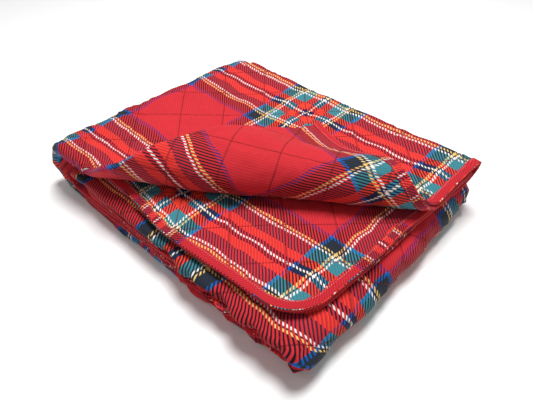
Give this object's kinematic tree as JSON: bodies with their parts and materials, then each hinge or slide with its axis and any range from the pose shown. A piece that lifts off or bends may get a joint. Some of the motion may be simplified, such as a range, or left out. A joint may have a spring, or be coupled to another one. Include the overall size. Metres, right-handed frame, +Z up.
{
  "type": "camp blanket",
  "caption": "Quilted tartan camp blanket folded into a flat stack, bound edges, front corner of the top leaf turned back.",
  "frame": {"origin": "middle of the underside of the folded stack, on the surface it rests on", "axes": "+Z up; X along the long side of the folded stack, +X towards the end with the folded edge below and the bound edges above; +Y towards the back creases"},
  "size_m": [0.4987, 0.3914, 0.1329],
  "materials": {
    "face_cloth": "matte",
    "wadding": "matte",
    "backing_cloth": "matte",
    "edge_binding": "satin",
    "quilting_thread": "satin",
    "binding_stitch": "satin"
  },
  "bodies": {
    "lower_stack": {"lower_stack_face_cloth": "face_cloth", "lower_stack_wadding": "wadding", "lower_stack_backing_cloth": "backing_cloth", "lower_stack_edge_binding": "edge_binding", "lower_stack_quilting_thread": "quilting_thread", "lower_stack_binding_stitch": "binding_stitch", "back_crease_face_cloth": "face_cloth", "back_crease_wadding": "wadding", "back_crease_backing_cloth": "backing_cloth", "back_crease_edge_binding": "edge_binding"},
    "top_third": {"top_third_face_cloth": "face_cloth", "top_third_wadding": "wadding", "top_third_backing_cloth": "backing_cloth", "top_third_edge_binding": "edge_binding", "top_third_quilting_thread": "quilting_thread", "top_third_binding_stitch": "binding_stitch", "corner_roll_face_cloth": "face_cloth", "corner_roll_wadding": "wadding", "corner_roll_backing_cloth": "backing_cloth", "corner_roll_edge_binding": "edge_binding"},
    "corner_flap": {"corner_flap_face_cloth": "face_cloth", "corner_flap_wadding": "wadding", "corner_flap_backing_cloth": "backing_cloth", "corner_flap_edge_binding": "edge_binding", "corner_flap_quilting_thread": "quilting_thread", "corner_flap_binding_stitch": "binding_stitch"}
  },
  "joints": [
    {"name": "top_third_unfold", "type": "hinge", "parent": "lower_stack", "child": "top_third", "pos_m": [-0.208, 0, 0.0412], "axis": [0, -1, 0], "range_deg": [0, 179], "deforming": ["back_crease_face_cloth", "back_crease_wadding", "back_crease_backing_cloth", "back_crease_edge_binding"]},
    {"name": "corner_turnback", "type": "hinge", "parent": "top_third", "child": "corner_flap", "pos_m": [-0.13018, -0.16967, 0.1012], "axis": [0.8228, 0.5683, 0], "range_deg": [0, 179], "deforming": ["corner_roll_face_cloth", "corner_roll_wadding", "corner_roll_backing_cloth", "corner_roll_edge_binding"]}
  ]
}
